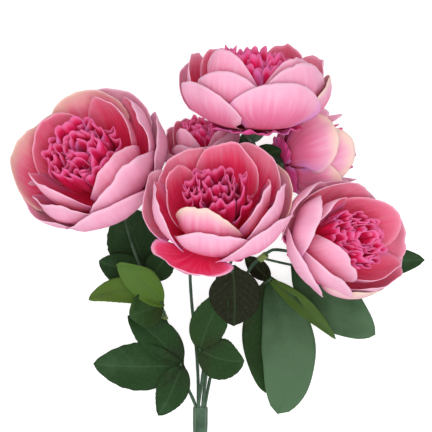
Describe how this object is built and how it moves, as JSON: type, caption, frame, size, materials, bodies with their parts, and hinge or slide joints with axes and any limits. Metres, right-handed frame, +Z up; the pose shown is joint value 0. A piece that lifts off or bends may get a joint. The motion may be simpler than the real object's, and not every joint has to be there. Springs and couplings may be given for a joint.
{
  "type": "artificial peony spray",
  "caption": "Bunch of layered cupped peony blooms with ruffled centres and pointed green leaves, on wire stems moulded into one handle, lying on its back",
  "frame": {"origin": "middle of the underside of the spray's bounding box, on the table that it lies on", "axes": "+Z is up from the table, +Y runs from the cut end of the handle towards the blooms, and +X is to the right of someone who looks down with the blooms away from them"},
  "size_m": [0.3061, 0.3641, 0.1611],
  "materials": {
    "petal_pink": "matte woven petal fabric, pale pink with a deeper base",
    "petal_rose": "matte woven petal fabric, rose",
    "petal_magenta": "matte woven petal fabric, magenta",
    "leaf_green": "satin leaf fabric, dark green",
    "stem_green": "moulded soft plastic, dark green"
  },
  "bodies": {
    "root": {"left_bloom_backing_petals": "petal_magenta", "left_bloom_outer_guard_petals": "petal_pink", "left_bloom_inner_guard_petals": "petal_pink", "left_bloom_cup_petals": "petal_rose", "left_bloom_outer_ruffle_petals": "petal_magenta", "left_bloom_inner_ruffle_petals": "petal_magenta", "left_bloom_calyx": "stem_green", "left_bloom_stem": "stem_green", "front_bloom_backing_petals": "petal_magenta", "front_bloom_outer_guard_petals": "petal_pink", "front_bloom_inner_guard_petals": "petal_pink", "front_bloom_cup_petals": "petal_rose", "front_bloom_outer_ruffle_petals": "petal_magenta", "front_bloom_inner_ruffle_petals": "petal_magenta", "front_bloom_calyx": "stem_green", "front_bloom_stem": "stem_green", "top_bloom_backing_petals": "petal_magenta", "top_bloom_outer_guard_petals": "petal_pink", "top_bloom_inner_guard_petals": "petal_pink", "top_bloom_cup_petals": "petal_rose", "top_bloom_outer_ruffle_petals": "petal_magenta", "top_bloom_inner_ruffle_petals": "petal_magenta", "top_bloom_calyx": "stem_green", "top_bloom_stem": "stem_green", "right_bloom_backing_petals": "petal_magenta", "right_bloom_outer_guard_petals": "petal_pink", "right_bloom_inner_guard_petals": "petal_pink", "right_bloom_cup_petals": "petal_rose", "right_bloom_outer_ruffle_petals": "petal_magenta", "right_bloom_inner_ruffle_petals": "petal_magenta", "right_bloom_calyx": "stem_green", "right_bloom_stem": "stem_green", "rear_right_bloom_backing_petals": "petal_magenta", "rear_right_bloom_outer_guard_petals": "petal_pink", "rear_right_bloom_inner_guard_petals": "petal_pink", "rear_right_bloom_cup_petals": "petal_rose", "rear_right_bloom_outer_ruffle_petals": "petal_magenta", "rear_right_bloom_inner_ruffle_petals": "petal_magenta", "rear_right_bloom_calyx": "stem_green", "rear_right_bloom_stem": "stem_green", "rear_left_bloom_backing_petals": "petal_magenta", "rear_left_bloom_outer_guard_petals": "petal_pink", "rear_left_bloom_inner_guard_petals": "petal_pink", "rear_left_bloom_cup_petals": "petal_rose", "rear_left_bloom_outer_ruffle_petals": "petal_magenta", "rear_left_bloom_inner_ruffle_petals": "petal_magenta", "rear_left_bloom_calyx": "stem_green", "rear_left_bloom_stem": "stem_green", "low_left_leaves": "leaf_green", "curled_left_leaves": "leaf_green", "high_left_leaves": "leaf_green", "middle_leaves": "leaf_green", "under_bloom_leaves": "leaf_green", "low_right_leaves": "leaf_green", "high_right_leaves": "leaf_green", "top_leaves": "leaf_green", "stem_handle": "stem_green"}
  },
  "joints": []
}
